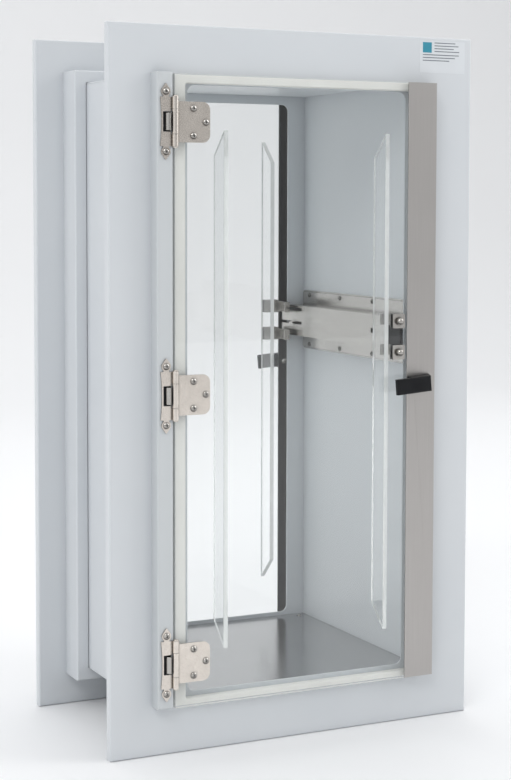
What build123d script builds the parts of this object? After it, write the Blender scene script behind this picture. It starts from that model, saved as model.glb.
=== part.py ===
from build123d import *

import os

# A wall pass-through cabinet, in millimetres. The origin is on the floor, below the centre of
# the cabinet. X runs across the doors, Y runs through the wall from the front door (-Y) to the
# rear door (+Y), and Z is up. Both ends are alike, so an end's pieces are drawn at the front,
# with distances "out" from the front face, and mirrored about Y = 0 for the rear.

os.makedirs("parts", exist_ok=True)

# ---- Cabinet -------------------------------------------------------------------------------
flange_width = 419.0
flange_height = 737.0
flange_return = 10.0
flange_bend = 2.0
cabinet_depth = 276.0
body_width = 329.0
body_height = 641.0
side_wall = 16.0
sheet = 1.5
floor_raise = 10.5
sill = 4.5
jamb_width = 22.5
jamb_head = 11.5
opening_corner = 8.0

# ---- Sliding trim flange and its collar ----------------------------------------------------
trim_front = 80.0
collar_depth = 37.1
collar_width = 13.5
collar_gap = 0.6

# ---- Hinge stile, gasket and magnet strip --------------------------------------------------
stile_width = 17.2
stile_bend = 2.0
stile_margin = 3.5
gasket_depth = 10.0
gasket_width = 12.5
gasket_side_margin = 6.0
gasket_sill_margin = 5.0
gasket_head_margin = 1.0
gasket_inset = 0.5
gasket_outer_corner = 3.0
magnet_width = 8.0
magnet_gap = 1.5

# ---- Door ----------------------------------------------------------------------------------
door_gap = 1.8
door_margin_right = 9.5
door_margin_top = 1.5
door_margin_bottom = 3.5
panel_thickness = 6.0
panel_gap = 0.3
rib_depth = 25.0
rib_thickness = 5.0
rib_end_margin = 54.5
left_rib_inset = 57.5
right_rib_inset = 56.0
strip_width = 34.5
strip_sheet = 1.0
pull_height = 16.5
pull_tilt = 4.5
pull_foot_width = 26.0
pull_stand = 17.0
pull_lip = 6.0
pull_reach = 20.0
pull_front_width = 40.5
pull_screw_radius = 2.0

# ---- Hinges --------------------------------------------------------------------------------
hinge_margin_top = 47.5
hinge_margin_bottom = 45.5
leaf_thickness = 1.5
knuckle_radius = 3.2
barrel_lift = 0.2
knuckle_length = 49.2
knuckle_gap = 0.3
door_knuckle_length = 24.4
pin_radius = 1.6
pin_running_gap = 0.05
pin_seat_gap = 0.02
pin_cap_radius = 2.5
pin_cap_height = 1.4
frame_leaf_width = 11.2
frame_leaf_height = 48.4
frame_leaf_screw_pitch = 59.0
frame_screw_from_axis = 9.2
waist_depth = 1.2
waist_height = 44.0
finial_neck = 6.0
finial_radius = 5.0
finial_tip_half = 3.6
finial_tip_start = 3.4
finial_tip_height = 4.4
finial_tip_round = 1.0
spring_slot_height = 20.0
spring_slot_width = 8.5
spring_wire = 1.8
leaf_from_axis = 3.8
door_leaf_reach = 38.5
door_leaf_height = 40.4
door_leaf_corner = 8.0
door_screw_near = 20.4
door_screw_far = 33.8
door_screw_pitch = 27.0
screw_radius = 1.9
screw_head_radius = 3.4
screw_head_height = 2.0
screw_length = 8.0
hole_gap = 0.05

# ---- Strikes -------------------------------------------------------------------------------
strike_heights = (67.5, 34.5)
strike_edge_inset = 36.5
strike_width = 14.5
strike_height = 15.2
strike_sheet = 1.5
strike_arm_depth = 31.0
strike_arm_height = 12.0
strike_hook = 6.5
strike_bolt_radius = 2.0
strike_bolt_head = 3.5
dome_nut_flats = 7.0
dome_nut_height = 3.0
dome_nut_cap = 2.9

# ---- Interlock -----------------------------------------------------------------------------
interlock_height = 52.0
plate_height = 70.0
plate_end_gap = 2.5
plate_sheet = 1.5
cover_height = 36.0
cover_depth = 23.0
cover_sheet = 1.2
cover_flange_reveal = 2.0
pocket_length = 27.0
cover_tongue_gap = 1.0
fork_slot_height = 3.5
fork_slot_length = 52.0
fork_slot_drops = (-13.3, 2.7)
square_hole = 5.0
square_hole_inset = 60.0
interlock_screw_count = 4
interlock_screw_insets = (23.0, 17.0)
interlock_screw_spread = 59.0
interlock_screw_radius = 1.5
interlock_screw_head = 2.6
block_length = 26.0
rear_block_inset = 62.0
bar_width = 10.0
bar_height = 7.0
bar_end_gap = 7.0
bar_travel = 8.0
bar_gap = 0.3
lug_reach = 5.4
lug_length = 8.0
lug_height = 2.9
lug_inset = 20.0
bar_collar_length = 6.0
bar_collar_margin = 3.0
spring_radius = 8.0
spring_wire_radius = 0.7
spring_pitch = 4.0
spring_length = 16.0
floor_screw_inset = 11.0

# ---- Places worked out from the sizes --------------------------------------------------------
half_depth = cabinet_depth / 2
half_body = body_width / 2
half_flange = flange_width / 2
mid_height = flange_height / 2
body_bottom = mid_height - body_height / 2
body_top = mid_height + body_height / 2
floor_top = body_bottom + floor_raise
opening_bottom = floor_top + sill
opening_top = body_top - jamb_head
liner_face = half_body - side_wall
half_opening = liner_face - jamb_width
inner_length = cabinet_depth - 2 * sheet
inner_height = body_height - 2 * sheet

gasket_inner = half_opening + gasket_side_margin
gasket_outer = gasket_inner + gasket_width
stile_left = -half_body
stile_right = stile_left + stile_width
stile_span = (body_bottom + stile_margin, body_top)
door_left = stile_right + door_gap
door_right = half_body - door_margin_right
door_span = (body_bottom + door_margin_bottom, body_top - door_margin_top)
panel_out = (gasket_depth + panel_gap, gasket_depth + panel_gap + panel_thickness)
stile_depth = panel_out[1]
rib_places = (door_left + left_rib_inset, door_right - right_rib_inset)
strip_left = door_right + strip_sheet - strip_width
strip_out = stile_depth + strip_sheet
leaf_out = stile_depth + leaf_thickness
hinge_axis = (stile_right + door_left) / 2
hinge_axis_out = stile_depth + barrel_lift + knuckle_radius
highest_hinge = door_span[1] - hinge_margin_top
lowest_hinge = door_span[0] + hinge_margin_bottom
hinge_centres = {
    "upper": highest_hinge,
    "middle": (highest_hinge + lowest_hinge) / 2,
    "lower": lowest_hinge,
}
frame_screw_x = hinge_axis - frame_screw_from_axis
door_screw_points = (
    (door_screw_near, door_screw_pitch / 2),
    (door_screw_near, -door_screw_pitch / 2),
    (door_screw_far, 0),
)
strike_x = door_right - strike_edge_inset - strike_width / 2
strike_right = strike_x + strike_width / 2
strike_centres = [mid_height + height for height in strike_heights]
pull_screw_x = strip_left + pull_foot_width / 4
interlock_z = mid_height + interlock_height
cover_face = liner_face - plate_sheet - cover_depth
bar_x = cover_face + cover_depth / 2 + cover_sheet / 2
bar_z = interlock_z - fork_slot_drops[1]
slot_heights = [interlock_z - drop for drop in fork_slot_drops]
half_length = inner_length / 2 - plate_end_gap


# ---- Helpers -------------------------------------------------------------------------------
def end_plane(out):
    """Plane parallel to the front face, that far out of it: local x is X and local y is Z."""
    return Plane.XZ.offset(half_depth + out)


def middle(span):
    """Middle of a (low, high) span."""
    return (span[0] + span[1]) / 2


def slab(x_span, z_span, out_span, corner=0.0, mode=Mode.ADD):
    """Plate parallel to the front face, between two distances out of it."""
    width = x_span[1] - x_span[0]
    height = z_span[1] - z_span[0]
    with BuildSketch(end_plane(out_span[0])) as outline:
        with Locations((middle(x_span), middle(z_span))):
            if corner:
                RectangleRounded(width, height, corner)
            else:
                Rectangle(width, height)
    extrude(outline.sketch, amount=out_span[1] - out_span[0], mode=mode)


def rounds(points, radius, out_span, mode=Mode.ADD):
    """Round pegs or holes square to the front face, between two distances out of it."""
    with BuildSketch(end_plane(out_span[0])) as circles:
        with Locations(*points):
            Circle(radius)
    extrude(circles.sketch, amount=out_span[1] - out_span[0], mode=mode)


def block(x_span, y_span, z_span, mode=Mode.ADD):
    """Rectangular block between its faces."""
    with BuildSketch(Plane.XY.offset(z_span[0])) as outline:
        with Locations((middle(x_span), middle(y_span))):
            Rectangle(x_span[1] - x_span[0], y_span[1] - y_span[0])
    extrude(outline.sketch, amount=z_span[1] - z_span[0], mode=mode)


def cut_door_opening():
    """Cut the door opening through the sheet at the front face."""
    slab(
        (-half_opening, half_opening),
        (opening_bottom, opening_top),
        (-2 * sheet, sheet),
        corner=opening_corner,
        mode=Mode.SUBTRACT,
    )


def part_rails(half_width):
    """Divide a frame into two full-height side rails, a head and a sill, butted together."""
    joint_x = half_width - opening_corner
    split(bisect_by=Plane.YZ.offset(joint_x), keep=Keep.BOTH)
    split(bisect_by=Plane.YZ.offset(-joint_x), keep=Keep.BOTH)


def domed(points, radius, height, out):
    """Domed screw heads standing on the plane that is that far out."""
    rounds(points, radius, (out, out + height))
    rims = edges().filter_by(GeomType.CIRCLE).group_by(Axis.Y)[0]
    fillet(rims, height * 0.8)


def send_to(end):
    """Mirror the piece to the rear if it belongs there."""
    if end == "rear":
        mirror(about=Plane.XZ, mode=Mode.REPLACE)


def keep(piece, name):
    """Label a finished piece and write it."""
    piece.label = name
    export_step(piece, f"parts/{name}.step")


# ---- Cabinet shell -------------------------------------------------------------------------
with BuildPart() as front_flange:
    slab((-half_flange, half_flange), (0, flange_height), (-flange_return, 0))
    fillet(faces().sort_by(Axis.Y)[0].edges(), flange_bend)
    offset(amount=-sheet, openings=faces().sort_by(Axis.Y)[-1])
    cut_door_opening()
    part_rails(half_opening)
keep(front_flange.part, "front_flange")

with BuildPart() as rear_frame:
    slab((-half_body, half_body), (body_bottom, body_top), (-sheet, 0))
    cut_door_opening()
    send_to("rear")
keep(rear_frame.part, "rear_frame")


def make_side(name, side):
    """Outer skin, a pan open towards the chamber, and the flat liner that closes it."""
    skin_depth = side_wall - sheet
    skin_centre = side * (half_body - skin_depth / 2)
    with BuildPart() as skin:
        with Locations((skin_centre, 0, mid_height)):
            Box(skin_depth, inner_length, inner_height)
        offset(amount=-sheet, openings=faces().sort_by(Axis.X)[0 if side > 0 else -1])
    keep(skin.part, f"{name}_skin")
    with BuildPart() as liner:
        with Locations((side * (liner_face + sheet / 2), 0, mid_height)):
            Box(sheet, inner_length, inner_height)
        if side > 0:
            cut_interlock_screw_holes()
    keep(liner.part, f"{name}_liner")


def interlock_screw_places():
    """Depth and height of each screw that holds the interlock to the right liner."""
    first = interlock_screw_insets[0] - half_length
    last = half_length - interlock_screw_insets[1]
    pitch = (last - first) / (interlock_screw_count - 1)
    return [
        (first + index * pitch, interlock_z + step)
        for index in range(interlock_screw_count)
        for step in (-interlock_screw_spread / 2, interlock_screw_spread / 2)
    ]


def interlock_rounds(radius, x_span, mode=Mode.ADD):
    """Pegs or holes along X at the interlock's screw places."""
    with BuildSketch(Plane.YZ.offset(x_span[0])) as circles:
        with Locations(*interlock_screw_places()):
            Circle(radius)
    extrude(circles.sketch, amount=x_span[1] - x_span[0], mode=mode)


def cut_interlock_screw_holes():
    """Clear the interlock's screws through the liner, the back plate or the cover's flanges."""
    reach = (liner_face - plate_sheet - 2 * cover_sheet, liner_face + 2 * sheet)
    interlock_rounds(interlock_screw_radius + hole_gap, reach, mode=Mode.SUBTRACT)


make_side("left", -1)
make_side("right", 1)

with BuildPart() as top_panel:
    with Locations((0, 0, body_top - sheet / 2)):
        Box(body_width, inner_length, sheet)
keep(top_panel.part, "top_panel")

with BuildPart() as bottom_skin:
    with Locations((0, 0, body_bottom + sheet / 2)):
        Box(body_width, inner_length, sheet)
keep(bottom_skin.part, "bottom_skin")

with BuildPart() as floor_plate:
    block(
        (-liner_face, liner_face),
        (-inner_length / 2, inner_length / 2),
        (body_bottom + sheet, floor_top),
    )
    offset(amount=-sheet, openings=faces().sort_by(Axis.Z)[0])
    with Locations(Plane.XY.offset(floor_top)):
        with GridLocations(
            2 * (liner_face - floor_screw_inset), inner_length - 2 * floor_screw_inset, 2, 2
        ):
            Hole(interlock_screw_radius + hole_gap, depth=2 * sheet)
keep(floor_plate.part, "floor_plate")

with BuildPart() as floor_screws:
    with BuildSketch(Plane.XY.offset(floor_top)):
        with GridLocations(
            2 * (liner_face - floor_screw_inset), inner_length - 2 * floor_screw_inset, 2, 2
        ):
            Circle(interlock_screw_head)
    extrude(amount=sheet)
    fillet(edges().group_by(Axis.Z)[-1], sheet * 0.8)
    with BuildSketch(Plane.XY.offset(floor_top)):
        with GridLocations(
            2 * (liner_face - floor_screw_inset), inner_length - 2 * floor_screw_inset, 2, 2
        ):
            Circle(interlock_screw_radius)
    extrude(amount=-3 * sheet)
keep(floor_screws.part, "floor_screws")


# ---- Hinge stile, gasket and magnet strip --------------------------------------------------
def make_door_frame_pieces(end):
    """What stands on the end face round the opening."""
    with BuildPart() as hinge_stile:
        slab((stile_left, stile_right), stile_span, (0, stile_depth))
        fillet(faces().sort_by(Axis.Y)[0].edges(), stile_bend)
        offset(amount=-sheet, openings=faces().sort_by(Axis.Y)[-1])
        rounds(
            frame_screw_points(), screw_radius + hole_gap, (0, leaf_out), mode=Mode.SUBTRACT
        )
        send_to(end)
    keep(hinge_stile.part, f"{end}_hinge_stile")

    with BuildPart() as gasket:
        slab(
            (-gasket_outer, gasket_outer),
            (door_span[0] + gasket_inset, door_span[1] - gasket_inset),
            (0, gasket_depth),
            corner=gasket_outer_corner,
        )
        slab(
            (-gasket_inner, gasket_inner),
            (opening_bottom - gasket_sill_margin, opening_top + gasket_head_margin),
            (-1, gasket_depth + 1),
            corner=opening_corner,
            mode=Mode.SUBTRACT,
        )
        part_rails(gasket_inner)
        send_to(end)
    keep(gasket.part, f"{end}_gasket")

    with BuildPart() as magnet_strip:
        left = gasket_outer + magnet_gap
        slab((left, left + magnet_width), (opening_bottom, opening_top), (0, gasket_depth))
        send_to(end)
    keep(magnet_strip.part, f"{end}_magnet_strip")


def frame_screw_points():
    """Screws of the three frame leaves, in the stile."""
    reach = frame_leaf_screw_pitch / 2
    return [
        (frame_screw_x, centre + step)
        for centre in hinge_centres.values()
        for step in (-reach, reach)
    ]


def door_leaf_screw_points():
    """Screws of the three door leaves, in the panel."""
    return [
        (hinge_axis + x, centre + z)
        for centre in hinge_centres.values()
        for x, z in door_screw_points
    ]


# ---- Door ----------------------------------------------------------------------------------
def make_door(end):
    """Clear panel, ribs, edge strip and pull of one door."""
    with BuildPart() as door_panel:
        slab((door_left, door_right), door_span, panel_out)
        through = (panel_out[0] - 1, panel_out[1] + 1)
        rounds(door_leaf_screw_points(), screw_radius + hole_gap, through, mode=Mode.SUBTRACT)
        rounds(
            [(strike_x, centre) for centre in strike_centres],
            strike_bolt_radius + hole_gap,
            through,
            mode=Mode.SUBTRACT,
        )
        rounds(
            [(pull_screw_x, mid_height)],
            pull_screw_radius + hole_gap,
            through,
            mode=Mode.SUBTRACT,
        )
        send_to(end)
    keep(door_panel.part, f"{end}_door_panel")

    with BuildPart() as door_ribs:
        back = -half_depth - panel_out[0]
        low = door_span[0] + rib_end_margin
        high = door_span[1] - rib_end_margin
        for rib_x in rib_places:
            with BuildSketch(Plane.YZ.offset(rib_x)):
                with BuildLine():
                    Polyline(
                        (back, low),
                        (back + rib_depth, low + rib_depth),
                        (back + rib_depth, high - rib_depth),
                        (back, high),
                        close=True,
                    )
                make_face()
            extrude(amount=rib_thickness / 2, both=True)
        send_to(end)
    keep(door_ribs.part, f"{end}_door_ribs")

    with BuildPart() as edge_strip:
        strip_right = door_right + strip_sheet
        slab((strip_left, strip_right), door_span, (panel_out[0], strip_out))
        slab((strip_left, door_right), door_span, panel_out, mode=Mode.SUBTRACT)
        rounds(
            [(pull_screw_x, mid_height)],
            pull_screw_radius + hole_gap,
            (panel_out[0], strip_out + 1),
            mode=Mode.SUBTRACT,
        )
        send_to(end)
    keep(edge_strip.part, f"{end}_edge_strip")

    tilt = Plane(
        origin=(strip_left, -half_depth - strip_out, mid_height),
        x_dir=(1, 0, 0),
        z_dir=(0, 0, 1),
    ).rotated((0, -pull_tilt, 0))
    front_left = -pull_reach
    front_right = pull_front_width - pull_reach
    with BuildPart() as pull:
        with BuildSketch(tilt):
            with BuildLine():
                Polyline(
                    (sheet, 0),
                    (sheet, pull_lip - pull_stand),
                    (front_left, pull_lip - pull_stand),
                    (front_left, -pull_stand),
                    (front_right, -pull_stand),
                    (sheet + pull_foot_width, 0),
                    close=True,
                )
            make_face()
        extrude(amount=pull_height / 2, both=True)
        fillet(edges().group_by(Axis.Y)[0], stile_bend)
        rounds(
            [(pull_screw_x, mid_height)],
            pull_screw_radius + hole_gap,
            (strip_out, strip_out + pull_stand / 2),
            mode=Mode.SUBTRACT,
        )
        send_to(end)
    keep(pull.part, f"{end}_pull")

    with BuildPart() as pull_screw:
        place = [(pull_screw_x, mid_height)]
        rounds(place, screw_head_radius, (panel_out[0] - screw_head_height, panel_out[0]))
        rims = edges().filter_by(GeomType.CIRCLE).group_by(Axis.Y)[-1]
        fillet(rims, screw_head_height * 0.8)
        rounds(place, pull_screw_radius, (panel_out[0], strip_out + pull_stand / 2 - hole_gap))
        send_to(end)
    keep(pull_screw.part, f"{end}_pull_screw")


# ---- Hinges --------------------------------------------------------------------------------
def barrel(spans, bore):
    """Knuckles on the hinge axis, over each span of heights, bored for the pin."""
    for low, high in spans:
        with BuildSketch(Plane.XY.offset(low)) as ring:
            with Locations((hinge_axis, -half_depth - hinge_axis_out)):
                Circle(knuckle_radius)
        extrude(ring.sketch, amount=high - low)
    low, high = spans[0][0], spans[-1][1]
    with BuildSketch(Plane.XY.offset(low)) as hole:
        with Locations((hinge_axis, -half_depth - hinge_axis_out)):
            Circle(bore)
    extrude(hole.sketch, amount=high - low, mode=Mode.SUBTRACT)


def make_frame_leaf(end, level, centre):
    """Leaf on the stile: finial ends, the outer knuckles and a slot for the spring."""
    reach = frame_leaf_screw_pitch / 2
    inner = door_knuckle_length / 2 + knuckle_gap
    outer = knuckle_length / 2
    leaf_right = hinge_axis - leaf_from_axis
    leaf_left = leaf_right - frame_leaf_width
    with BuildPart() as frame_leaf:
        with BuildSketch(end_plane(stile_depth)):
            with Locations((leaf_left + frame_leaf_width / 2, centre)):
                Rectangle(frame_leaf_width, frame_leaf_height)
            with Locations((frame_screw_x, centre)):
                Rectangle(finial_neck, 2 * reach)
            with Locations((frame_screw_x, centre - reach), (frame_screw_x, centre + reach)):
                Circle(finial_radius)
            for way in (-1, 1):
                tip_base = centre + way * (reach + finial_tip_start)
                tip_top = tip_base + way * finial_tip_height
                with BuildLine():
                    Polyline(
                        (frame_screw_x - finial_tip_half, tip_base),
                        (frame_screw_x + finial_tip_half, tip_base),
                        (frame_screw_x + finial_tip_round / 2, tip_top),
                        (frame_screw_x - finial_tip_round / 2, tip_top),
                        close=True,
                    )
                make_face()
            tab_height = frame_leaf_height / 2 - inner
            tab_centre = inner + tab_height / 2
            tab_x = (leaf_right + hinge_axis) / 2
            with Locations((tab_x, centre - tab_centre), (tab_x, centre + tab_centre)):
                Rectangle(leaf_from_axis, tab_height)
            waist_radius = (waist_height**2 / 4 + waist_depth**2) / (2 * waist_depth)
            with Locations((leaf_left + waist_depth - waist_radius, centre)):
                Circle(waist_radius, mode=Mode.SUBTRACT)
            with Locations((leaf_right - spring_slot_width / 2, centre)):
                Rectangle(spring_slot_width, spring_slot_height, mode=Mode.SUBTRACT)
            with Locations((frame_screw_x, centre - reach), (frame_screw_x, centre + reach)):
                Circle(screw_radius + hole_gap, mode=Mode.SUBTRACT)
        extrude(amount=leaf_thickness)
        barrel(
            ((centre - outer, centre - inner), (centre + inner, centre + outer)),
            pin_radius + pin_seat_gap,
        )
        send_to(end)
    keep(frame_leaf.part, f"{end}_{level}_frame_leaf")


def make_door_leaf(end, level, centre):
    """Leaf on the panel: square plate with rounded free corners and the middle knuckle."""
    half_knuckle = door_knuckle_length / 2
    leaf_start = hinge_axis + leaf_from_axis
    leaf_end = hinge_axis + door_leaf_reach
    with BuildPart() as door_leaf:
        slab(
            (leaf_start, leaf_end),
            (centre - door_leaf_height / 2, centre + door_leaf_height / 2),
            (stile_depth, leaf_out),
        )
        free_corners = edges().filter_by(Axis.Y).group_by(Axis.X)[-1]
        fillet(free_corners, door_leaf_corner)
        slab(
            (hinge_axis, leaf_start),
            (centre - half_knuckle, centre + half_knuckle),
            (stile_depth, leaf_out),
        )
        barrel(((centre - half_knuckle, centre + half_knuckle),), pin_radius + pin_running_gap)
        rounds(
            [(hinge_axis + x, centre + z) for x, z in door_screw_points],
            screw_radius + hole_gap,
            (stile_depth, leaf_out),
            mode=Mode.SUBTRACT,
        )
        send_to(end)
    keep(door_leaf.part, f"{end}_{level}_door_leaf")


def make_hinge_small_parts(end):
    """Pins, springs and screws of one door's hinges."""
    pin_centre = (hinge_axis, -half_depth - hinge_axis_out)
    with BuildPart() as hinge_pins:
        for centre in hinge_centres.values():
            low = centre - knuckle_length / 2
            high = centre + knuckle_length / 2
            with BuildSketch(Plane.XY.offset(low)):
                with Locations(pin_centre):
                    Circle(pin_radius)
            extrude(amount=knuckle_length)
            for base in (low - pin_cap_height, high):
                with BuildSketch(Plane.XY.offset(base)):
                    with Locations(pin_centre):
                        Circle(pin_cap_radius)
                extrude(amount=pin_cap_height)
        rims = edges().filter_by(GeomType.CIRCLE).filter_by(lambda rim: rim.radius > pin_radius)
        outer_rims = rims.group_by(Axis.Z)
        for index in (0, 3, 4, 7, 8, 11):
            fillet(outer_rims[index], pin_cap_height * 0.8)
        send_to(end)
    keep(hinge_pins.part, f"{end}_hinge_pins")

    with BuildPart() as hinge_springs:
        spring_x = hinge_axis - leaf_from_axis - spring_slot_width / 2
        with BuildSketch(end_plane(stile_depth)):
            with Locations(*[(spring_x, centre) for centre in hinge_centres.values()]):
                wide = spring_slot_width - 2 * knuckle_gap
                tall = spring_slot_height - 2 * knuckle_gap
                RectangleRounded(wide, tall, spring_wire)
                RectangleRounded(
                    wide - 2 * spring_wire,
                    tall - 2 * spring_wire,
                    spring_wire / 2,
                    mode=Mode.SUBTRACT,
                )
        extrude(amount=spring_wire)
        send_to(end)
    keep(hinge_springs.part, f"{end}_hinge_springs")

    with BuildPart() as frame_leaf_screws:
        domed(frame_screw_points(), screw_head_radius, screw_head_height, leaf_out)
        rounds(frame_screw_points(), screw_radius, (leaf_out - screw_length, leaf_out))
        send_to(end)
    keep(frame_leaf_screws.part, f"{end}_frame_leaf_screws")

    with BuildPart() as door_leaf_screws:
        domed(door_leaf_screw_points(), screw_head_radius, screw_head_height, leaf_out)
        rounds(door_leaf_screw_points(), screw_radius, (panel_out[0], leaf_out))
        send_to(end)
    keep(door_leaf_screws.part, f"{end}_door_leaf_screws")


# ---- Strikes -------------------------------------------------------------------------------
def make_strikes(end):
    """Angled brackets behind the panel, and the bolts, washers and dome nuts through it."""
    plate_back = panel_out[0] - strike_sheet
    arm_end = plate_back - strike_arm_depth
    strike_span = (strike_x - strike_width / 2, strike_right)
    bolt_points = [(strike_x, centre) for centre in strike_centres]
    with BuildPart() as strikes:
        for centre in strike_centres:
            plate_z = (centre - strike_height / 2, centre + strike_height / 2)
            arm_z = (centre - strike_arm_height / 2, centre + strike_arm_height / 2)
            slab(strike_span, plate_z, (plate_back, panel_out[0]))
            slab((strike_right - strike_sheet, strike_right), arm_z, (arm_end, plate_back))
            slab((strike_right - strike_hook, strike_right), arm_z, (arm_end, arm_end + strike_sheet))
        rounds(
            bolt_points,
            strike_bolt_radius + hole_gap,
            (plate_back, panel_out[0]),
            mode=Mode.SUBTRACT,
        )
        send_to(end)
    keep(strikes.part, f"{end}_strikes")

    washer_out = panel_out[1] + strike_sheet
    with BuildPart() as strike_bolts:
        for centre in strike_centres:
            plate_z = (centre - strike_height / 2, centre + strike_height / 2)
            slab(strike_span, plate_z, (panel_out[1], washer_out), corner=1.0)
        with BuildSketch(end_plane(washer_out)):
            with Locations(*bolt_points):
                RegularPolygon(dome_nut_flats / 2, 6, major_radius=False)
        extrude(amount=dome_nut_height)
        rounds(bolt_points, strike_bolt_radius, (plate_back, washer_out))
        rounds(bolt_points, strike_bolt_head, (plate_back - strike_sheet, plate_back))
        rounds(
            bolt_points,
            dome_nut_flats / 2,
            (washer_out + dome_nut_height, washer_out + dome_nut_height + dome_nut_cap),
        )
        rims = edges().filter_by(GeomType.CIRCLE).group_by(Axis.Y)[0]
        fillet(rims, dome_nut_cap * 0.9)
        send_to(end)
    keep(strike_bolts.part, f"{end}_strike_bolts")


for door_end in ("front", "rear"):
    make_door_frame_pieces(door_end)
    make_door(door_end)
    for hinge_level, hinge_centre in hinge_centres.items():
        make_frame_leaf(door_end, hinge_level, hinge_centre)
        make_door_leaf(door_end, hinge_level, hinge_centre)
    make_hinge_small_parts(door_end)
    make_strikes(door_end)


# ---- Sliding trim flange -------------------------------------------------------------------
body_clear = (body_width + 2 * collar_gap, body_height + 2 * collar_gap)
collar_outer = (body_width + 2 * collar_width, body_height + 2 * collar_width)
trim_back = trim_front + flange_return

with BuildPart() as trim_flange:
    block((-half_flange, half_flange), (trim_front, trim_back), (0, flange_height))
    fillet(faces().sort_by(Axis.Y)[0].edges(), flange_bend)
    offset(amount=-sheet, openings=faces().sort_by(Axis.Y)[-1])
    with BuildSketch(Plane.XZ.offset(-trim_front)):
        with Locations((0, mid_height)):
            Rectangle(*body_clear)
    extrude(amount=-2 * flange_return, mode=Mode.SUBTRACT)
keep(trim_flange.part, "trim_flange")

with BuildPart() as trim_collar:
    collar_front = trim_front - collar_depth
    collar_length = collar_depth
    with BuildSketch(Plane.XZ.offset(-collar_front)):
        with Locations((0, mid_height)):
            Rectangle(*collar_outer)
    extrude(amount=-collar_length)
    fillet(faces().sort_by(Axis.Y)[0].edges(), flange_bend)
    offset(amount=-sheet, openings=faces().sort_by(Axis.Y)[-1])
    with BuildSketch(Plane.XZ.offset(-collar_front)):
        with Locations((0, mid_height)):
            Rectangle(*body_clear)
    extrude(amount=-collar_length, mode=Mode.SUBTRACT)
keep(trim_collar.part, "trim_collar")


# ---- Interlock -----------------------------------------------------------------------------
half_plate = plate_height / 2
half_cover = cover_height / 2
plate_face = liner_face - plate_sheet
flange_face = plate_face - cover_sheet

with BuildPart() as interlock_back_plate:
    block(
        (plate_face, liner_face),
        (-half_length, half_length),
        (interlock_z - half_plate, interlock_z + half_plate),
    )
    cut_interlock_screw_holes()
keep(interlock_back_plate.part, "interlock_back_plate")

square_hole_y = square_hole_inset - half_length
with BuildPart() as interlock_cover:
    flange_reach = half_plate - cover_flange_reveal
    block(
        (flange_face, plate_face),
        (-half_length, half_length),
        (interlock_z - flange_reach, interlock_z + flange_reach),
    )
    block(
        (cover_face, plate_face),
        (-half_length, half_length),
        (interlock_z - half_cover, interlock_z + half_cover),
    )
    block(
        (cover_face, cover_face + cover_sheet),
        (half_length, half_depth + panel_out[0] - cover_tongue_gap),
        (interlock_z - half_cover, interlock_z + half_cover),
    )
    block(
        (cover_face + cover_sheet, plate_face),
        (-half_length, half_length),
        (interlock_z - half_cover + cover_sheet, interlock_z + half_cover - cover_sheet),
        mode=Mode.SUBTRACT,
    )
    block(
        (cover_face, cover_face + cover_sheet),
        (-half_length, -half_length + pocket_length),
        (interlock_z - half_cover + cover_sheet, interlock_z + half_cover - cover_sheet),
        mode=Mode.SUBTRACT,
    )
    for slot_z in slot_heights:
        block(
            (cover_face, cover_face + cover_sheet),
            (half_depth + panel_out[0] - cover_tongue_gap - fork_slot_length, 2 * half_depth),
            (slot_z - fork_slot_height / 2, slot_z + fork_slot_height / 2),
            mode=Mode.SUBTRACT,
        )
    block(
        (cover_face, cover_face + cover_sheet),
        (square_hole_y - square_hole / 2, square_hole_y + square_hole / 2),
        (interlock_z - square_hole / 2, interlock_z + square_hole / 2),
        mode=Mode.SUBTRACT,
    )
    cut_interlock_screw_holes()
keep(interlock_cover.part, "interlock_cover")

with BuildPart() as interlock_screws:
    interlock_rounds(interlock_screw_head, (flange_face - sheet, flange_face))
    fillet(edges().group_by(Axis.X)[0], sheet * 0.8)
    interlock_rounds(interlock_screw_radius, (flange_face, liner_face + 2 * sheet))
keep(interlock_screws.part, "interlock_screws")

front_block_y = -half_length + pocket_length - block_length / 2 + sheet
block_spans = [
    (centre - block_length / 2, centre + block_length / 2)
    for centre in (front_block_y, half_length - rear_block_inset)
]
with BuildPart() as interlock_guide_blocks:
    for y_span in block_spans:
        block(
            (cover_face + cover_sheet, plate_face),
            y_span,
            (interlock_z - half_cover + cover_sheet, interlock_z + half_cover - cover_sheet),
        )
        block(
            (bar_x - bar_width / 2 - bar_gap, bar_x + bar_width / 2 + bar_gap),
            y_span,
            (bar_z - bar_height / 2 - bar_gap, bar_z + bar_height / 2 + bar_gap),
            mode=Mode.SUBTRACT,
        )
keep(interlock_guide_blocks.part, "interlock_guide_blocks")

spring_front = block_spans[0][1] + bar_gap
spring_rear = block_spans[1][0] - bar_gap - spring_length
collar_starts = (
    spring_front + spring_length + bar_travel + 3 * bar_gap,
    spring_rear - bar_travel - 3 * bar_gap - bar_collar_length,
)
lug_y = half_length - lug_inset
with BuildPart() as interlock_slide_bar:
    block(
        (bar_x - bar_width / 2, bar_x + bar_width / 2),
        (bar_end_gap - half_length, half_length - bar_end_gap),
        (bar_z - bar_height / 2, bar_z + bar_height / 2),
    )
    for start in collar_starts:
        block(
            (bar_x - bar_width / 2 - bar_collar_margin, bar_x + bar_width / 2 + bar_collar_margin),
            (start, start + bar_collar_length),
            (bar_z - bar_height / 2 - bar_collar_margin, bar_z + bar_height / 2 + bar_collar_margin),
        )
    block(
        (cover_face - lug_reach, bar_x),
        (lug_y - lug_length / 2, lug_y + lug_length / 2),
        (bar_z - lug_height / 2, bar_z + lug_height / 2),
    )
keep(interlock_slide_bar.part, "interlock_slide_bar")

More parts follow.
